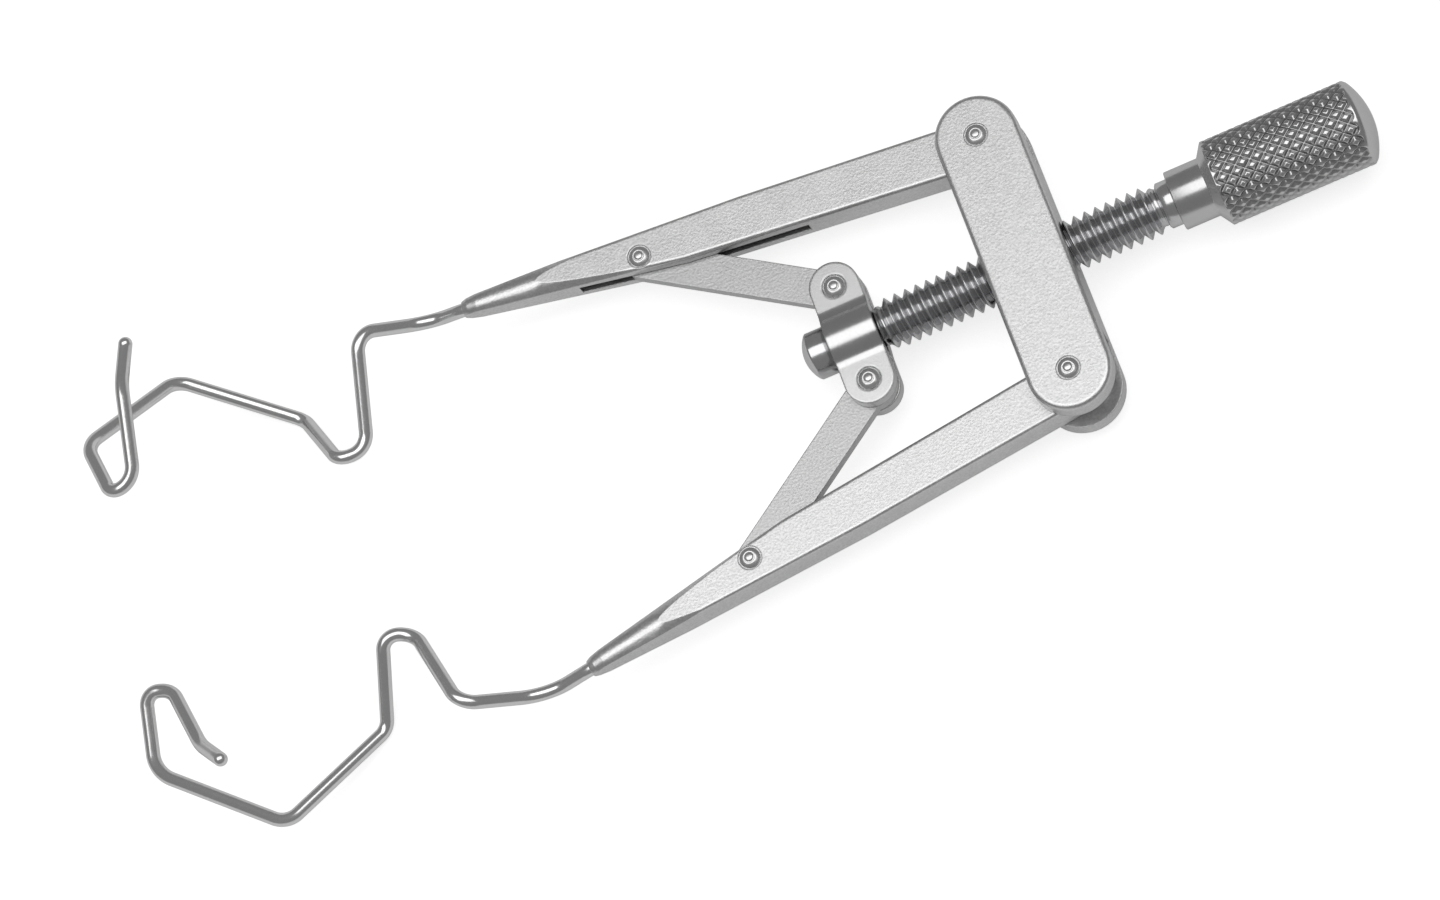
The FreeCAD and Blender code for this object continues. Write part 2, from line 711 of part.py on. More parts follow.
def make_screw():
    """A rolled screw: domed head, journal for the saddles, thread, plain neck and a tang for the knob."""
    body = new_body("drive_screw")
    half = size("saddle_width") / 2
    shoulder = carriage_x() - half - size("end_fit")
    head_in = carriage_x() + half + size("end_fit")
    head_out = head_in + size("head_length")
    tang_end = size("neck_end_x") - size("tang_length")
    core = new_sketch(body, "screw_core")
    bevel = size("head_bevel")
    points = [
        (tang_end, 0.0),
        (head_out + size("head_dome"), 0.0),
        (head_out + 0.75 * size("head_dome"), 0.5 * size("head_radius")),
        (head_out, size("head_radius") - bevel),
        (head_out - bevel, size("head_radius")),
        (head_in, size("head_radius")),
        (head_in, size("journal_radius")),
        (shoulder, size("journal_radius")),
        (shoulder, size("thread_minor")),
        (size("thread_end_x"), size("thread_minor")),
        (size("thread_end_x"), size("neck_radius")),
        (size("neck_end_x"), size("neck_radius")),
        (size("neck_end_x"), size("tang_radius")),
        (tang_end, size("tang_radius")),
    ]
    tied = {
        (5, "y"): "sizes.head_radius",
        (6, "y"): "sizes.journal_radius",
        (7, "y"): "sizes.journal_radius",
        (8, "y"): "sizes.thread_minor",
        (9, "x"): "sizes.thread_end_x",
        (9, "y"): "sizes.thread_minor",
        (10, "x"): "sizes.thread_end_x",
        (10, "y"): "sizes.neck_radius",
        (11, "x"): "sizes.neck_end_x",
        (11, "y"): "sizes.neck_radius",
        (12, "x"): "sizes.neck_end_x",
        (12, "y"): "sizes.tang_radius",
        (13, "y"): "sizes.tang_radius",
    }
    add_polygon(core, points, tied)
    revolve(body, "screw_blank", core)
    # one ridge, repeated at the pitch along the threaded length
    pitch = size("thread_pitch")
    count = int((shoulder - size("thread_end_x")) / pitch)
    first = shoulder - pitch / 2
    ridge = new_sketch(body, "screw_ridge")
    root = size("thread_minor") - size("running_fit")
    points = [(first - 0.49 * pitch, root), (first + 0.49 * pitch, root), (first, size("thread_major"))]
    add_polygon(ridge, points, {(2, "y"): "sizes.thread_major"})
    turn = revolve(body, "screw_ridge_turned", ridge)
    body.Tip = turn
    row = body.newObject("PartDesign::LinearPattern", "screw_thread")
    row.Originals = [turn]
    row.Direction = (ridge, ["H_Axis"])
    row.Reversed = True
    row.Length = (count - 1) * pitch
    row.Occurrences = count
    body.Tip = row
    doc.recompute()
    return body


# Thumb knob


def make_knob():
    """A turned drum with a collar, bored for the screw's tang; the far end is a shallow dome."""
    body = new_body("thumb_knob")
    collar_in = size("neck_end_x")
    collar_out = collar_in - size("collar_length")
    drum_in = collar_out - size("shoulder_length")
    drum_out = drum_in - size("knob_length")
    bore_end = collar_in - size("tang_length")
    radius, bevel, dome = size("knob_radius"), size("knob_bevel"), size("knob_dome")
    profile = new_sketch(body, "knob_profile")
    points = [
        (bore_end, 0.0),
        (bore_end, size("tang_radius")),
        (collar_in, size("tang_radius")),
        (collar_in, size("collar_radius")),
        (collar_out, size("collar_radius")),
        (drum_in, radius),
        (drum_out + bevel, radius),
        (drum_out, radius - bevel),
    ]
    # the dome is drawn as short chords of one arc
    rim = radius - bevel
    arc_radius = (rim ** 2 + dome ** 2) / (2 * dome)
    steps = 6
    for i in range(1, steps + 1):
        y = rim * (1 - i / steps)
        points.append((drum_out - (math.sqrt(arc_radius ** 2 - y ** 2) - (arc_radius - dome)), y))
    tied = {
        (1, "y"): "sizes.tang_radius",
        (2, "x"): "sizes.neck_end_x",
        (2, "y"): "sizes.tang_radius",
        (3, "x"): "sizes.neck_end_x",
        (3, "y"): "sizes.collar_radius",
        (4, "y"): "sizes.collar_radius",
        (5, "y"): "sizes.knob_radius",
        (6, "y"): "sizes.knob_radius",
    }
    add_polygon(profile, points, tied)
    revolve(body, "knob_turned", profile)
    return body


# Blade wires


def blade_corners(sign):
    """Corner points of the bent wire and the bend radius at each one, from socket to free end."""
    nose = side(sign, arm_point(sign, size("arm_length"), 0))
    inside = side(sign, arm_point(sign, size("arm_length") - size("socket_depth"), 0))
    root = Vector(size("wire_root_along"), size("wire_root_out"), 0)
    tilt = math.radians(size("blade_tilt"))
    along = Vector(math.cos(tilt), 0, math.sin(tilt))
    over = Vector(-math.sin(tilt), 0, math.cos(tilt))
    across = Vector(0, 1, 0)
    stretch = sign * size("shank_stretch")
    heel = Vector(size("heel_along") + stretch, size("heel_out"), -size("heel_drop"))
    bend_along = size("shank_bend_along") + 0.4 * stretch
    shank_bend = Vector(bend_along, size("shank_bend_out"), -size("shank_bend_drop"))
    far = size("blade_width") + sign * size("far_stretch")
    apex = size("apex_along") + 0.5 * sign * size("far_stretch")
    drift = -sign * size("far_gather")
    tail = drift - sign * size("tail_gather")
    far_hook, far_lip = far - size("far_hook_back"), far - size("far_lip_back")
    # each row: along the blade, outwards, above the lid plane, bend
    rows = [
        (-size("shank_back"), size("shank_out"), size("shank_top"), "shank_top_turn"),
        (-size("hook_back"), -size("hook_reach"), size("hook_rise"), "hook_turn"),
        (-size("hook_lip_back"), -size("hook_lip_reach"), size("hook_lip_rise"), "hook_lip_turn"),
        (0.0, size("heel_flare"), -size("heel_sag"), "heel_turn"),
        (apex, size("apex_out") + drift, -size("apex_drop"), "apex_turn"),
        (far, size("toe_out") + drift, -size("toe_drop"), "toe_turn"),
        (far_hook, drift - size("far_hook_reach"), size("far_hook_rise"), "far_hook_turn"),
        (far_lip, drift - size("far_lip_reach"), size("far_lip_rise"), "far_lip_turn"),
        (far - size("tail_bend_back"), tail + size("tail_bend_out"), size("tail_bend_rise"), "tail_turn"),
        (far - size("tail_end_back"), tail + size("tail_end_out"), size("tail_end_rise"), "tail_turn"),
    ]
    corners = [inside, nose, shank_bend]
    radii = [0.0, size("socket_turn"), size("shank_turn")]
    for reach, outward, rise, bend in rows:
        corners.append(heel + along * reach + across * outward + over * rise)
        radii.append(size(bend))
    # each wire leaves its socket at a slight turn of its own
    spin = Rotation(Vector(0, 0, 1), -sign * size("wire_swing"))
    corners = corners[:2] + [root + spin.multVec(point - root) for point in corners[2:]]
    return [side(sign, point) for point in corners], radii


def rounded_path(corners, radii):
    """Straight runs joined by tangent arcs in space."""
    edges = []
    last = corners[0]
    for i in range(1, len(corners) - 1):
        corner = corners[i]
        back, ahead = corners[i - 1] - corner, corners[i + 1] - corner
        room = min(back.Length, ahead.Length) * 0.49
        back.normalize()
        ahead.normalize()
        half_angle = back.getAngle(ahead) / 2
        setback = min(radii[i] / math.tan(half_angle), room)
        radius = setback * math.tan(half_angle)
        start, stop = corner + back * setback, corner + ahead * setback
        middle = (back + ahead).normalize()
        mid = corner + middle * (radius / math.sin(half_angle) - radius)
        if (start - last).Length > 1e-6:
            edges.append(Part.LineSegment(last, start).toShape())
        edges.append(Part.Arc(start, mid, stop).toShape())
        last = stop
    edges.append(Part.LineSegment(last, corners[-1]).toShape())
    return Part.Wire(edges)


def make_blade_wire(name, sign):
    """One round wire bent in space: shank, first hook, V-shaped lid blade, second hook, free end."""
    corners, radii = blade_corners(sign)
    path = rounded_path(corners, radii)
    start = (corners[1] - corners[0]).normalize()
    ring = Part.Wire(Part.Circle(corners[0], start, size("wire_radius")).toShape())
    solid = path.makePipeShell([ring], True, True)
    tip = Part.makeSphere(size("wire_radius"), corners[-1])
    feature = doc.addObject("Part::Feature", name)
    feature.Label = name
    feature.Shape = solid.fuse(tip).removeSplitter()
    feature.Placement = Placement(Vector(size("seat_x"), size("seat_y"), size("seat_z")), Rotation())
    return feature


# Build every piece

pieces = [
    make_yoke(),
    make_arm("lower_arm", 1),
    make_arm("upper_arm", -1),
    make_link("lower_link", 1),
    make_link("upper_link", -1),
    make_saddle("front_saddle", False),
    make_saddle("back_saddle", True),
    make_screw(),
    make_knob(),
    make_blade_wire("lower_blade_wire", 1),
    make_blade_wire("upper_blade_wire", -1),
]
for word, sign in (("lower", 1), ("upper", -1)):
    pivot = (0, sign * size("yoke_pivot_y"), 0)
    pieces.append(make_rivet(word + "_yoke_rivet", pivot, size("yoke_thick") / 2))
    pieces.append(make_rivet(word + "_arm_rivet", tuple(arm_pin(sign)), size("arm_thick") / 2))
    grip = size("saddle_gap") / 2 + size("saddle_thick")
    pieces.append(make_rivet(word + "_carriage_rivet", tuple(carriage_pin(sign)), grip))
doc.recompute()

# Check and write

for item in doc.Objects:
    if "Invalid" in item.State or "Error" in item.State:
        raise RuntimeError("%s did not build: %s" % (item.Name, item.State))
for piece in pieces:
    shape = piece.Shape
    if shape.isNull() or not shape.isValid() or not shape.Solids:
        raise RuntimeError("%s has no valid solid" % piece.Label)
    shape.exportStep("parts/%s.step" % piece.Label)
    box = shape.BoundBox
    spans = (box.XMin, box.XMax, box.YMin, box.YMax, box.ZMin, box.ZMax)
    print("%-22s" % piece.Label, len(shape.Solids), round(shape.Volume, 3), *["%.2f" % v for v in spans])
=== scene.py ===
import math

import bpy
import numpy as np
from mathutils import Matrix, Vector


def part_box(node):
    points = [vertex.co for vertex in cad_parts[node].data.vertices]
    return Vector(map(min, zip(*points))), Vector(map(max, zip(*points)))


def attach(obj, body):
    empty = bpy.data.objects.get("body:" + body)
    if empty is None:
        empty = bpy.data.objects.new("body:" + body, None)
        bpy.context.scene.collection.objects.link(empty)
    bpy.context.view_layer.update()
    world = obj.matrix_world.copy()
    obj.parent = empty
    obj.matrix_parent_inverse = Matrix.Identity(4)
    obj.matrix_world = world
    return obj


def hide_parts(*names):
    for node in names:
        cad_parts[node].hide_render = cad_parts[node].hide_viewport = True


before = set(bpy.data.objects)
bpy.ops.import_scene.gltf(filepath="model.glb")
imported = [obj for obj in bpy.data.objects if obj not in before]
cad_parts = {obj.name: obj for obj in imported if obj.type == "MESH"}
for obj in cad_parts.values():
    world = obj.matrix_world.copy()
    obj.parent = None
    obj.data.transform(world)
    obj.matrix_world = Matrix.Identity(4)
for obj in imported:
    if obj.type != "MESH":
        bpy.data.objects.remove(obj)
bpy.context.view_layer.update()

# Yoke: a bar of stainless steel with round ends, milled and bead-blasted to an even satin.
# Its edges are broken, so they catch the light. The screw axis crosses its middle, and
# every other piece is laid out from that point, in millimetres.
yoke_low, yoke_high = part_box("yoke")
SEAT = np.array((yoke_low + yoke_high) / 2) * 1000.0
METRES = 0.001
PEEN_DEPTH = 0.02
NOISE_LOW, NOISE_HIGH = 0.35, 0.65
SLOW_TONES, FINE_TONES, ROUGHNESS_SWING = (0.94, 1.04), (0.86, 1.1), (-0.03, 0.03)


def combine(tree, operation, first, second):
    """A maths node's result. Each of its two inputs is a socket or a plain number."""
    node = tree.nodes.new("ShaderNodeMath")
    node.operation = operation
    for socket, value in zip(node.inputs, (first, second)):
        if isinstance(value, float):
            socket.default_value = value
        else:
            tree.links.new(value, socket)
    return node.outputs[0]


def blasted_grain():
    """Node group: fine peening from bead-blasting.

    Height is fine noise plus half of a coarser noise. Tone is one, moved by Speck towards
    a slow change of brightness times a finer one. Rough is the slow change around nought.
    """
    group = bpy.data.node_groups.new("blasted_grain", "ShaderNodeTree")
    for name in ("Grain", "Cloud", "Speck"):
        group.interface.new_socket(name, in_out="INPUT", socket_type="NodeSocketFloat")
    for name in ("Height", "Tone", "Rough"):
        group.interface.new_socket(name, in_out="OUTPUT", socket_type="NodeSocketFloat")
    nodes, links = group.nodes, group.links
    entry = nodes.new("NodeGroupInput")
    leave = nodes.new("NodeGroupOutput")
    place = nodes.new("ShaderNodeTexCoord")
    fine = nodes.new("ShaderNodeTexNoise")
    fine.inputs["Detail"].default_value = 3.0
    slow = nodes.new("ShaderNodeTexNoise")
    slow.inputs["Detail"].default_value = 4.0
    slow.inputs["Roughness"].default_value = 0.62
    for noise, socket in ((fine, "Grain"), (slow, "Cloud")):
        links.new(place.outputs["Object"], noise.inputs["Vector"])
        links.new(entry.outputs[socket], noise.inputs["Scale"])
    half = combine(group, "MULTIPLY", slow.outputs["Fac"], 0.5)
    links.new(combine(group, "ADD", half, fine.outputs["Fac"]), leave.inputs["Height"])
    spreads = []
    for noise, (low, high) in ((slow, SLOW_TONES), (fine, FINE_TONES), (slow, ROUGHNESS_SWING)):
        spread = nodes.new("ShaderNodeMapRange")
        spread.inputs["From Min"].default_value = NOISE_LOW
        spread.inputs["From Max"].default_value = NOISE_HIGH
        spread.inputs["To Min"].default_value = low
        spread.inputs["To Max"].default_value = high
        links.new(noise.outputs["Fac"], spread.inputs["Value"])
        spreads.append(spread.outputs["Result"])
    held = nodes.new("ShaderNodeMix")
    held.inputs[2].default_value = 1.0
    links.new(entry.outputs["Speck"], held.inputs[0])
    links.new(combine(group, "MULTIPLY", spreads[0], spreads[1]), held.inputs[3])
    links.new(held.outputs[0], leave.inputs["Tone"])
    links.new(spreads[2], leave.inputs["Rough"])
    return group


GRAIN = blasted_grain()


def steel(name, grey, roughness, grain, cloud, bump, speck, broken_edge=0.0, groove_painted_shade=0.0, blue=0.0):
    """Stainless steel: a grey metal, its tone, roughness and relief varied by the grain group.

    A broken edge is a radius, in millimetres, over which light turns round a sharp corner.
    Tooled grooves get painted shade: tone times one minus the groove shade strength times the mesh's own
    "cut".
    Blue is added to the blue part of the grey.
    """
    material = bpy.data.materials.new(name)
    material.use_nodes = True
    tree = material.node_tree
    nodes, links = tree.nodes, tree.links
    shader = nodes["Principled BSDF"]
    shader.inputs["Metallic"].default_value = 1.0
    shader.inputs["Specular Tint"].default_value = (0.8, 0.8, 0.8, 1.0)
    group = nodes.new("ShaderNodeGroup")
    group.node_tree = GRAIN
    group.inputs["Grain"].default_value = grain
    group.inputs["Cloud"].default_value = cloud
    group.inputs["Speck"].default_value = speck
    tone = group.outputs["Tone"]
    # painted shade: the colour is darkened by how deep each point lies in a tooled groove
    if groove_painted_shade > 0.0:
        cut = nodes.new("ShaderNodeAttribute")
        cut.attribute_name = "cut"
        shade = combine(tree, "MULTIPLY", cut.outputs["Fac"], -groove_painted_shade)
        tone = combine(tree, "MULTIPLY", combine(tree, "ADD", shade, 1.0), tone)
    tint = nodes.new("ShaderNodeMix")
    tint.data_type = "RGBA"
    tint.blend_type = "MULTIPLY"
    tint.inputs[0].default_value = 1.0
    tint.inputs[6].default_value = (grey, grey, grey + blue, 1.0)
    links.new(tone, tint.inputs[7])
    links.new(tint.outputs[2], shader.inputs["Base Color"])
    links.new(combine(tree, "ADD", group.outputs["Rough"], roughness), shader.inputs["Roughness"])
    relief = nodes.new("ShaderNodeBump")
    relief.inputs["Strength"].default_value = bump
    relief.inputs["Distance"].default_value = PEEN_DEPTH * METRES
    links.new(group.outputs["Height"], relief.inputs["Height"])
    if broken_edge > 0.0:
        corner = nodes.new("ShaderNodeBevel")
        corner.samples = 6
        corner.inputs["Radius"].default_value = broken_edge * METRES
        links.new(corner.outputs["Normal"], relief.inputs["Normal"])
    links.new(relief.outputs["Normal"], shader.inputs["Normal"])
    return material


SATIN = steel("satin_plate", 0.67, 0.33, 7500.0, 500.0, bump=0.45, speck=0.7, broken_edge=0.1)


def dress(node, material):
    """Gives a CAD node its finish."""
    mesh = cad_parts[node].data
    mesh.materials.clear()
    mesh.materials.append(material)


dress("yoke", SATIN)

# Arms: flat bars of the same satin steel, slotted for the links and turned to a round nose.
# They sit in the yoke's slots and swing on its rivets.
for arm in ("lower_arm", "upper_arm"):
    dress(arm, SATIN)

# Links: thin flat bars, blasted like the arms, riveted to the arms and held between the saddles.
# Their grey is darker than the arms' partly for their rougher blast and partly as painted
# shade, since they lie deeper between the plates.
ROUGHER_AND_SHADED_LINK_STEEL = steel("link_plate_rough_and_shaded", 0.55, 0.35, 7500.0, 500.0, bump=0.5, speck=0.8, broken_edge=0.08)
for link in ("lower_link", "upper_link"):
    dress(link, ROUGHER_AND_SHADED_LINK_STEEL)

# Saddles: two polished straps, pressed to a hump over the screw's journal. Rivets at their
# round feet hold them together with the links between.
POLISHED = steel("polished_plate", 0.57, 0.22, 6500.0, 350.0, bump=0.05, speck=0.15, broken_edge=0.17)
for saddle in ("front_saddle", "back_saddle"):
    dress(saddle, POLISHED)

# Rivets: steel pins with a low dome at each end. The spinning tool has left a shallow ring
# and a small button in the middle of each.
RIVET_STEEL = steel("rivet_steel", 0.66, 0.27, 6500.0, 900.0, bump=0.05, speck=0.15)


def surface(name, points, material, body, cut=None):
    """A closed tube-like surface: points is a grid of rings along its length and angles round it.

    Each ring joins the next with quads, and both ends close on a fan. Faces point outwards
    where the rings run along +axis and the angle turns by the right-hand rule. Cut is how
    deep each point lies in a tooled groove, from nought to one.
    """
    rings, around = points.shape[:2]
    co = points.reshape(-1, 3)
    i, j = np.meshgrid(np.arange(rings - 1), np.arange(around), indexing="ij")
    k = (j + 1) % around
    quads = np.stack([i * around + j, i * around + k, (i + 1) * around + k, (i + 1) * around + j], axis=-1)
    faces = quads.reshape(-1, 4).tolist()
    centres = np.array([points[0].mean(axis=0), points[-1].mean(axis=0)])
    first, last = len(co), len(co) + 1
    co = np.concatenate([co, centres])
    a = np.arange(around)
    b = (a + 1) % around
    tail = (rings - 1) * around
    faces += np.stack([np.full(around, first), b, a], axis=-1).tolist()
    faces += np.stack([np.full(around, last), tail + a, tail + b], axis=-1).tolist()
    mesh = bpy.data.meshes.new(name)
    mesh.from_pydata(((co + SEAT) * METRES).tolist(), [], faces)
    mesh.polygons.foreach_set("use_smooth", np.ones(len(mesh.polygons), dtype=bool))
    mesh.materials.append(material)
    # the cut attribute is the groove depth that the steel turns into painted shade
    if cut is not None:
        depth = mesh.attributes.new("cut", "FLOAT", "POINT")
        depth.data.foreach_set("value", np.append(cut.ravel(), [0.0, 0.0]))
    mesh.update()
    piece = bpy.data.objects.new(name, mesh)
    bpy.context.scene.collection.objects.link(piece)
    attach(piece, body)
    return piece


def along_profile(profile, around, place):
    """Rings of an upright turned form: each profile row is (height, radius).

    A ring is radius times (cos, sin) of the angle in the plane across the axis.
    """
    angle = np.linspace(0.0, 2 * math.pi, around, endpoint=False)
    height, radius = profile[:, 0][:, None], profile[:, 1][:, None]
    one, two = radius * np.cos(angle), radius * np.sin(angle)
    return np.stack([one, two, np.broadcast_to(height, one.shape)], axis=-1) + np.asarray(place)


SHANK, HEAD_ROUND, DOME, SINK = 0.4, 0.58, 0.2, 0.1
RING, RING_WIDE, RING_DEEP = 0.27, 0.06, 0.035
GRIPS = {"yoke": 2.4, "arm": 1.05, "carriage": 1.2}


def rivet_profile(half_grip):
    """Half of the rivet's outline, mirrored: shank, head seat, rim and a low arc.

    The tool's ring takes its depth times exp(-((radius - ring) / ring width) squared) off
    the arc.
    """
    arc = (HEAD_ROUND ** 2 + DOME ** 2) / (2 * DOME)
    out = np.linspace(HEAD_ROUND * 0.985, 0.0, 30)
    height = half_grip + DOME - arc + np.sqrt(arc ** 2 - out ** 2)
    cap = np.stack([height - RING_DEEP * np.exp(-(((out - RING) / RING_WIDE) ** 2)), out], axis=-1)
    foot = half_grip - SINK
    seat = np.array([[0.0, SHANK], [foot, SHANK], [foot, HEAD_ROUND], [half_grip, HEAD_ROUND]])
    upper = np.concatenate([seat, cap[:-1], [[half_grip + DOME, 0.004]]])
    lower = upper[::-1] * np.array([-1.0, 1.0])
    return np.concatenate([lower[:-1], upper])


def node_middle(node):
    """Centre of a CAD node's box, from the screw axis, in millimetres."""
    low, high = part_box(node)
    return np.array((low + high) / 2) * 1000.0 - SEAT


for side in ("lower", "upper"):
    bodies = {"yoke": "yoke", "arm": side + "_arm", "carriage": "carriage"}
    for place, half_grip in GRIPS.items():
        node = "%s_%s_rivet" % (side, place)
        rings = along_profile(rivet_profile(half_grip), 40, node_middle(node))
        pin = surface(node + "_turned", rings, RIVET_STEEL, bodies[place])
        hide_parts(node)

# Drive screw: stainless rod with a rolled right-hand thread, a plain neck towards the knob,
# and a head that holds the saddles on their journal. It is polished, with painted shade in its thread roots.
THREAD_PITCH = 0.635
THREAD_MAJOR = 1.475
THREAD_MINOR = 1.07
THREAD_START = -7.87
THREAD_STOP = 9.02
ROOT_FLAT, FLANK = 0.06, 0.86
NECK, NECK_START = 1.34, -8.64
JOURNAL = 1.0
HEAD = 1.375
HEAD_IN, HEAD_OUT, HEAD_DOME, HEAD_CHAMFER = 11.98, 13.2, 0.42, 0.12


def screw_rings(around=80, per_turn=16):
    """Rings of the whole screw, and how deep each point lies in the thread.

    Thread radius is minor plus height times a blunt triangle wave of (distance over pitch
    minus angle over a full turn), so the crest climbs along +X as the angle grows. The
    height fades in over one pitch at both ends.
    """
    count = int((THREAD_STOP - THREAD_START) / THREAD_PITCH * per_turn)
    run = np.linspace(THREAD_START, THREAD_STOP, count)
    angle = np.linspace(0.0, 2 * math.pi, around, endpoint=False)
    phase = run[:, None] / THREAD_PITCH - angle[None, :] / (2 * math.pi)
    wave = 1.0 - np.abs(2.0 * (phase - np.floor(phase)) - 1.0)
    crest = np.clip((wave - ROOT_FLAT) / FLANK, 0.0, 1.0)
    fade = np.clip(np.minimum(run - THREAD_START, THREAD_STOP - run) / THREAD_PITCH, 0.0, 1.0)
    radius = THREAD_MINOR + (THREAD_MAJOR - THREAD_MINOR) * crest * fade[:, None]
    before = np.array([
        [NECK_START, NECK], [NECK_START + 0.04, NECK],
        [THREAD_START - 0.12, NECK], [THREAD_START - 0.02, THREAD_MINOR + 0.12],
    ])
    crown = HEAD - HEAD_CHAMFER
    dome = np.linspace(crown, 0.004, 12)
    arc = (crown ** 2 + HEAD_DOME ** 2) / (2 * HEAD_DOME)
    cap = np.stack([HEAD_OUT + HEAD_DOME - arc + np.sqrt(arc ** 2 - dome ** 2), dome], axis=-1)
    after = np.concatenate([
        np.array([
            [THREAD_STOP + 0.01, JOURNAL], [HEAD_IN - 0.001, JOURNAL], [HEAD_IN, JOURNAL],
            [HEAD_IN, HEAD - 0.03], [HEAD_IN + 0.03, HEAD],
            [HEAD_OUT - 0.14, HEAD], [HEAD_OUT - 0.11, HEAD - 0.01],
        ]),
        cap,
    ])
    stations = np.concatenate([before[:, 0], run, after[:, 0]])
    flat = lambda rows: np.broadcast_to(rows[:, 1][:, None], (len(rows), around))
    radii = np.concatenate([flat(before), radius, flat(after)])
    along = np.broadcast_to(stations[:, None], radii.shape)
    cut = np.concatenate([flat(before) * 0.0, (1.0 - crest) * fade[:, None], flat(after) * 0.0])
    return np.stack([along, radii * np.cos(angle), radii * np.sin(angle)], axis=-1), cut


# painted shade: the thread roots' colour is darkened by their depth
SCREW_STEEL = steel("screw_steel", 0.6, 0.2, 6500.0, 900.0, bump=0.05, speck=0.15, groove_painted_shade=0.15, blue=0.01)
rings, cut = screw_rings()
screw = surface("threaded_screw", rings, SCREW_STEEL, "screw", cut)
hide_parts("drive_screw")

# Thumb knob: a turned drum with a plain collar, diamond-knurled round its side and pressed on
# the screw's end. The knurl is cut by two wheels, so its grooves cross at equal slopes.
# Its grooves carry painted shade.
KNOB = 2.47
COLLAR, COLLAR_BORE = 1.715, 1.2
COLLAR_IN, COLLAR_OUT = -8.64, -10.62
DRUM_IN, DRUM_OUT = -11.12, -19.79
KNURL_ROUND = 20
KNURL_STEP = 0.862
KNURL_DEPTH = 0.16
KNURL_FLAT, KNURL_ROOT = 0.4, 0.98
KNURL_FADE = 0.12
KNOB_RIM, KNOB_DOME = 0.3, 0.56


def knob_rings(around=360, along=190):
    """Rings of the knob, from its domed end to the collar, and how deep each point lies in the knurl.

    Knurl depth is the greater of two triangle waves of (turns times count plus or minus
    distance over step), cut off below the flat's share, so each diamond has a flat top and
    sloping sides down to the crossing grooves.
    """
    angle = np.linspace(0.0, 2 * math.pi, around, endpoint=False)
    rim = KNOB - KNOB_RIM
    arc = (rim ** 2 + KNOB_DOME ** 2) / (2 * KNOB_DOME)
    out = np.linspace(0.004, rim, 16)
    cap = np.stack([DRUM_OUT - (np.sqrt(arc ** 2 - out ** 2) - (arc - KNOB_DOME)), out], axis=-1)
    lip = np.array([[DRUM_OUT + 0.08, rim + 0.12], [DRUM_OUT + 0.26, KNOB - 0.02]])
    run = np.linspace(DRUM_OUT + 0.34, DRUM_IN - 0.02, along)
    turns = angle[None, :] / (2 * math.pi) * KNURL_ROUND
    steps = run[:, None] / KNURL_STEP
    wave = lambda phase: np.abs(2.0 * (phase - np.floor(phase)) - 1.0)
    groove = np.maximum(wave(turns + steps), wave(turns - steps))
    groove = np.clip((groove - KNURL_FLAT) / (KNURL_ROOT - KNURL_FLAT), 0.0, 1.0)
    fade = np.clip(np.minimum(run - run[0], run[-1] - run) / KNURL_FADE, 0.0, 1.0)
    radius = KNOB - KNURL_DEPTH * groove * fade[:, None]
    after = np.array([
        [DRUM_IN, KNOB - 0.01], [COLLAR_OUT - 0.02, COLLAR + 0.02], [COLLAR_OUT + 0.02, COLLAR],
        [COLLAR_IN - 0.06, COLLAR], [COLLAR_IN - 0.01, COLLAR - 0.04],
        [COLLAR_IN, COLLAR - 0.08], [COLLAR_IN, COLLAR_BORE],
    ])
    before = np.concatenate([cap, lip])
    flat = lambda rows: np.broadcast_to(rows[:, 1][:, None], (len(rows), around))
    stations = np.concatenate([before[:, 0], run, after[:, 0]])
    radii = np.concatenate([flat(before), radius, flat(after)])
    line = np.broadcast_to(stations[:, None], radii.shape)
    cut = np.concatenate([flat(before) * 0.0, groove * fade[:, None], flat(after) * 0.0])
    return np.stack([line, radii * np.cos(angle), radii * np.sin(angle)], axis=-1), cut


# painted shade: the knurl's grooves are darkened by their depth
KNOB_STEEL = steel("knurled_steel", 0.58, 0.22, 6500.0, 900.0, bump=0.05, speck=0.15, groove_painted_shade=0.42)
rings, cut = knob_rings()
knob = surface("knurled_knob", rings, KNOB_STEEL, "screw", cut)
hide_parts("thumb_knob")

# Blade wires: round spring wire, bent cold in space and polished, brazed into the arms' noses.
# Each has a shank, a hook, the V that carries the lid, a second hook and a rounded free end.
WIRE = 0.4
ARM_PIVOT = 7.4
ARM_ANGLE, ARM_LEAN, ARM_LENGTH = 7.5, 0.62, 31.1
SOCKET_DEPTH = 1.6
BLADE_TILT = 33.0
WIRE_ROOT = 30.9, 11.4
SHANK_BEND_ALONG, SHANK_BEND_OUT, SHANK_BEND_DROP = 33.6, 11.83, 1.44
HEEL_ALONG, HEEL_OUT, HEEL_DROP = 42.76, 9.62, 2.7
SHANK_BACK, SHANK_OUT, SHANK_TOP = 2.02, 1.9, 6.58
HOOK_BACK, HOOK_REACH, HOOK_RISE = 1.82, 3.83, 3.43
HOOK_LIP_BACK, HOOK_LIP_REACH, HOOK_LIP_RISE = 0.11, 4.23, 2.99
HEEL_FLARE, HEEL_SAG = 0.09, 0.39
BLADE_WIDTH = 13.36
APEX_ALONG, APEX_OUT, APEX_DROP = 6.6, 4.23, 1.63
TOE_OUT, TOE_DROP = 0.4, 0.23
FAR_HOOK_BACK, FAR_HOOK_REACH, FAR_HOOK_RISE = 0.13, 3.66, 1.59
FAR_LIP_BACK, FAR_LIP_REACH, FAR_LIP_RISE = 1.34, 3.22, 2.58
TAIL_BEND_BACK, TAIL_BEND_OUT, TAIL_BEND_RISE = 1.45, 1.32, 4.74
TAIL_END_BACK, TAIL_END_OUT, TAIL_END_RISE = 1.78, 2.97, 6.5

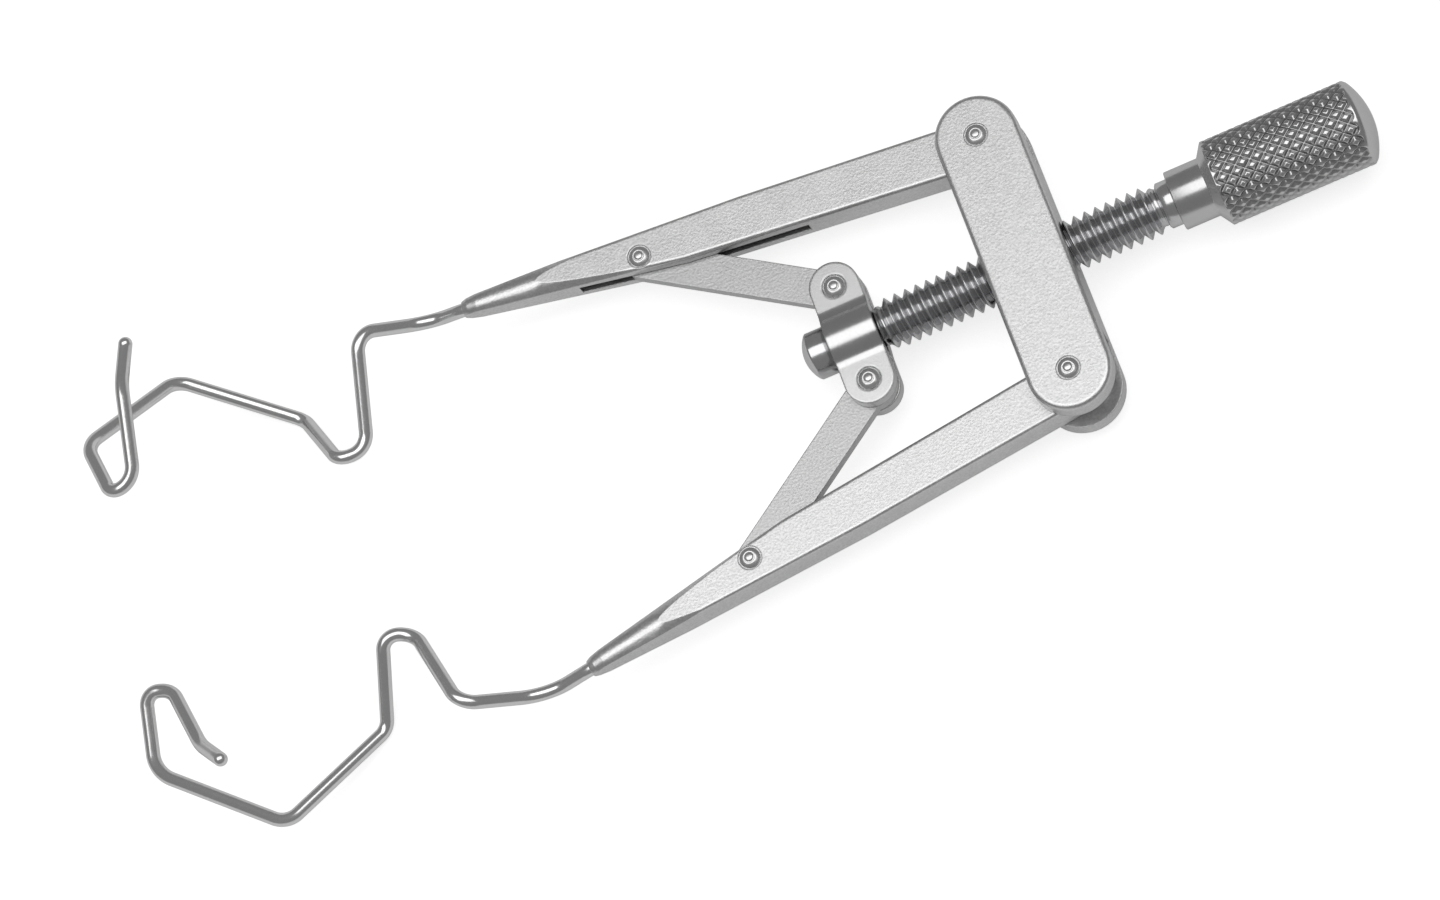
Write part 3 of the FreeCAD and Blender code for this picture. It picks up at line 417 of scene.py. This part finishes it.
# How tightly each corner is bent, and how the two hand-bent wires differ: added on the lower
# side and taken off on the upper. A share is the part of a stretch that the corner before
# its end takes.
SOCKET_TURN, SHANK_TURN, SHANK_TOP_TURN = 2.0, 5.0, 1.15
HOOK_TURN, HOOK_LIP_TURN, HEEL_TURN, APEX_TURN = 1.75, 1.2, 1.0, 1.4
TOE_TURN, FAR_HOOK_TURN, FAR_LIP_TURN, TAIL_TURN = 1.7, 1.0, 1.4, 3.0
WIRE_SWING, SHANK_STRETCH, FAR_STRETCH, FAR_GATHER, TAIL_GATHER = 1.92, 0.6, 0.35, 0.13, 0.24
SHANK_BEND_SHARE, APEX_SHARE = 0.4, 0.5


def wire_corners(sign):
    """Corner points of a wire and the bend radius at each, from inside the arm's nose to the free end."""
    angle = math.radians(ARM_ANGLE + sign * ARM_LEAN)
    out_of_arm = np.array([math.cos(angle), math.sin(angle), 0.0])
    pivot = np.array([0.0, ARM_PIVOT, 0.0])
    tilt = math.radians(BLADE_TILT)
    along = np.array([math.cos(tilt), 0.0, math.sin(tilt)])
    over = np.array([-math.sin(tilt), 0.0, math.cos(tilt)])
    across = np.array([0.0, 1.0, 0.0])
    stretch = sign * SHANK_STRETCH
    heel = np.array([HEEL_ALONG + stretch, HEEL_OUT, -HEEL_DROP])
    shank_bend = np.array([SHANK_BEND_ALONG + SHANK_BEND_SHARE * stretch, SHANK_BEND_OUT, -SHANK_BEND_DROP])
    far = BLADE_WIDTH + sign * FAR_STRETCH
    apex = APEX_ALONG + APEX_SHARE * sign * FAR_STRETCH
    drift = -sign * FAR_GATHER
    tail = drift - sign * TAIL_GATHER
    # each row: along the blade, outwards, above the lid plane, bend
    rows = [
        (-SHANK_BACK, SHANK_OUT, SHANK_TOP, SHANK_TOP_TURN),
        (-HOOK_BACK, -HOOK_REACH, HOOK_RISE, HOOK_TURN),
        (-HOOK_LIP_BACK, -HOOK_LIP_REACH, HOOK_LIP_RISE, HOOK_LIP_TURN),
        (0.0, HEEL_FLARE, -HEEL_SAG, HEEL_TURN),
        (apex, drift + APEX_OUT, -APEX_DROP, APEX_TURN),
        (far, drift + TOE_OUT, -TOE_DROP, TOE_TURN),
        (far - FAR_HOOK_BACK, drift - FAR_HOOK_REACH, FAR_HOOK_RISE, FAR_HOOK_TURN),
        (far - FAR_LIP_BACK, drift - FAR_LIP_REACH, FAR_LIP_RISE, FAR_LIP_TURN),
        (far - TAIL_BEND_BACK, tail + TAIL_BEND_OUT, TAIL_BEND_RISE, TAIL_TURN),
        (far - TAIL_END_BACK, tail + TAIL_END_OUT, TAIL_END_RISE, 0.0),
    ]
    root = np.array([*WIRE_ROOT, 0.0])
    turn = math.radians(-sign * WIRE_SWING)
    spin = np.array([[math.cos(turn), -math.sin(turn), 0], [math.sin(turn), math.cos(turn), 0], [0, 0, 1]])
    bent = [shank_bend] + [heel + along * a + across * b + over * c for a, b, c, _ in rows]
    bent = [root + spin @ (point - root) for point in bent]
    nose = pivot + out_of_arm * ARM_LENGTH
    corners = [nose - out_of_arm * SOCKET_DEPTH, nose] + bent
    flip = np.array([1.0, sign, 1.0])
    return [point * flip for point in corners], [0.0, SOCKET_TURN, SHANK_TURN] + [row[3] for row in rows]


def rounded_line(corners, radii, step=0.16):
    """Points along straight runs joined by tangent arcs.

    An arc's setback is radius over the tangent of the half angle, held under 0.49 of the
    shorter run beside it. Points on it are centre plus radius times the turned start spoke.
    """
    line = [corners[0]]
    for i in range(1, len(corners) - 1):
        back, ahead = corners[i - 1] - corners[i], corners[i + 1] - corners[i]
        room = 0.49 * min(np.linalg.norm(back), np.linalg.norm(ahead))
        back, ahead = back / np.linalg.norm(back), ahead / np.linalg.norm(ahead)
        half = math.acos(float(np.clip(back @ ahead, -1, 1))) / 2
        setback = min(radii[i] / math.tan(half), room)
        radius = setback * math.tan(half)
        start = corners[i] + back * setback
        middle = (back + ahead) / np.linalg.norm(back + ahead)
        centre = corners[i] + middle * radius / math.sin(half)
        spoke = (start - centre) / radius
        heading = -back
        sweep = math.pi - 2 * half
        turn = np.linspace(0.0, sweep, max(4, int(radius * sweep / step * 2)))[:, None]
        line.extend(centre + radius * (np.cos(turn) * spoke + np.sin(turn) * heading))
    line.append(corners[-1])
    line = np.array(line)
    gaps = np.linalg.norm(np.diff(line, axis=0), axis=1)
    dense = [line[:1]]
    for a, b, gap in zip(line, line[1:], gaps):
        share = np.linspace(0.0, 1.0, max(2, int(gap / (4 * step)) + 2))[1:, None]
        dense.append(a + (b - a) * share)
    return np.concatenate(dense)


def wire_rings(line, around=36):
    """Rings of a round wire along a line, closed by a round tip.

    Each ring's frame is the last one's, turned by no more than the line turns. The tip is
    a half sphere: rings of radius times cosine, pushed out by radius times sine.
    """
    ahead = np.gradient(line, axis=0)
    ahead /= np.linalg.norm(ahead, axis=1)[:, None]
    side = np.cross(ahead[0], [0.0, 0.0, 1.0])
    side /= np.linalg.norm(side)
    sides = []
    for direction in ahead:
        side = side - direction * (side @ direction)
        side /= np.linalg.norm(side)
        sides.append(side)
    sides = np.array(sides)
    over = np.cross(ahead, sides)
    angle = np.linspace(0.0, 2 * math.pi, around, endpoint=False)[None, :, None]
    spokes = np.cos(angle) * sides[:, None, :] + np.sin(angle) * over[:, None, :]
    body = line[:, None, :] + WIRE * spokes
    lift = np.linspace(0.0, math.pi / 2 - 0.02, 9)[1:, None, None]
    tip = line[-1] + WIRE * (np.cos(lift) * spokes[-1][None] + np.sin(lift) * ahead[-1])
    return np.concatenate([body, tip])


WIRE_STEEL = steel("polished_wire", 0.74, 0.2, 6500.0, 700.0, bump=0.05, speck=0.15)
for side, sign in (("lower", 1), ("upper", -1)):
    rings = wire_rings(rounded_line(*wire_corners(sign)))
    wire = surface(side + "_bent_wire", rings, WIRE_STEEL, side + "_arm")
    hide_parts(side + "_blade_wire")

# Table: a broad sheet of white card that the speculum lies on. Seen straight on it adds a
# plain white of its own to what the lamp gives it, and in the metal a weaker one, so it
# stays white round the part and keeps a faint soft shadow under it.
REACH = 3.0
CARD_GREY, CARD_GLOW, GLOW_IN_METAL = 0.6, 0.74, 0.35
card = bpy.data.meshes.new("card")
corners = [(-REACH, -REACH, 0), (REACH, -REACH, 0), (REACH, REACH, 0), (-REACH, REACH, 0)]
card.from_pydata(corners, [], [(0, 1, 2, 3)])
table = bpy.data.objects.new("table", card)
bpy.context.scene.collection.objects.link(table)
white = bpy.data.materials.new("white_card")
white.use_nodes = True
tree = white.node_tree
tree.nodes.clear()
matt = tree.nodes.new("ShaderNodeBsdfDiffuse")
matt.inputs["Color"].default_value = (CARD_GREY, CARD_GREY, CARD_GREY, 1.0)
glow = tree.nodes.new("ShaderNodeEmission")
path = tree.nodes.new("ShaderNodeLightPath")
in_metal = combine(tree, "MULTIPLY", path.outputs["Is Glossy Ray"], GLOW_IN_METAL)
seen = combine(tree, "MAXIMUM", path.outputs["Is Camera Ray"], in_metal)
seen = combine(tree, "MAXIMUM", seen, path.outputs["Is Transmission Ray"])
tree.links.new(combine(tree, "MULTIPLY", seen, CARD_GLOW), glow.inputs["Strength"])
both = tree.nodes.new("ShaderNodeAddShader")
tree.links.new(matt.outputs[0], both.inputs[0])
tree.links.new(glow.outputs[0], both.inputs[1])
result = tree.nodes.new("ShaderNodeOutputMaterial")
tree.links.new(both.outputs[0], result.inputs["Surface"])
card.materials.append(white)

# Studio: one wide soft lamp straight above and a dim grey room round it, so that round steel
# shows a bright band between two darker ones. Seen straight on, the room is white.
ROOM_GREY = 0.25
room = bpy.data.worlds.new("room")
bpy.context.scene.world = room
room.use_nodes = True
tree = room.node_tree
backdrop = tree.nodes["Background"]
backdrop.inputs["Strength"].default_value = 1.0
path = tree.nodes.new("ShaderNodeLightPath")
straight = combine(tree, "MAXIMUM", path.outputs["Is Camera Ray"], path.outputs["Is Transmission Ray"])
wall = tree.nodes.new("ShaderNodeMix")
wall.data_type = "RGBA"
wall.inputs[6].default_value = (ROOM_GREY, ROOM_GREY, ROOM_GREY, 1.0)
wall.inputs[7].default_value = (1.0, 1.0, 1.0, 1.0)
tree.links.new(straight, wall.inputs[0])
tree.links.new(wall.outputs[2], backdrop.inputs["Color"])


def soft_lamp(name, place, aim, wide, deep, radiance):
    """A rectangular lamp of even brightness: its power is pi times its area times its radiance."""
    lamp = bpy.data.lights.new(name, "AREA")
    lamp.shape = "RECTANGLE"
    lamp.size = wide
    lamp.size_y = deep
    lamp.energy = math.pi * wide * deep * radiance
    holder = bpy.data.objects.new(name, lamp)
    bpy.context.scene.collection.objects.link(holder)
    place, aim = Vector(place), Vector(aim)
    holder.location = place
    holder.rotation_euler = (aim - place).to_track_quat("-Z", "Y").to_euler()
    return holder


LAMP_SHIFT, LAMP_HIGH, LAMP_WIDE, LAMP_DEEP, LAMP_RADIANCE = -0.022, 0.6, 0.9, 0.46, 1.56
above = (0.0, LAMP_SHIFT, LAMP_HIGH)
soft_lamp("overhead", above, (0.0, LAMP_SHIFT, 0.0), LAMP_WIDE, LAMP_DEEP, LAMP_RADIANCE)

# Camera: above the front plates, leaning towards the lower arm, long lens.
CAMERA = np.array([-18.87, 102.44, 253.66])
RIGHT = np.array([-0.9099, 0.3198, -0.2643])
DOWN = np.array([0.3903, 0.8758, -0.2841])
FORWARD = np.array([0.1406, -0.3617, -0.9216])
FOCAL_PIXELS, PHOTO_WIDE, SENSOR = 4958.8, 1440.0, 36.0
lens = bpy.data.cameras.new("camera")
lens.sensor_fit = "HORIZONTAL"
lens.sensor_width = SENSOR
lens.lens = FOCAL_PIXELS / PHOTO_WIDE * SENSOR
lens.clip_start = 0.01
lens.clip_end = 20.0
camera = bpy.data.objects.new("camera", lens)
bpy.context.scene.collection.objects.link(camera)
turn = Matrix([[RIGHT[i], -DOWN[i], -FORWARD[i]] for i in range(3)])
camera.matrix_world = Matrix.Translation(Vector((CAMERA + SEAT) * METRES)) @ turn.to_4x4()
bpy.context.scene.camera = camera
bpy.context.scene.view_settings.view_transform = "Standard"
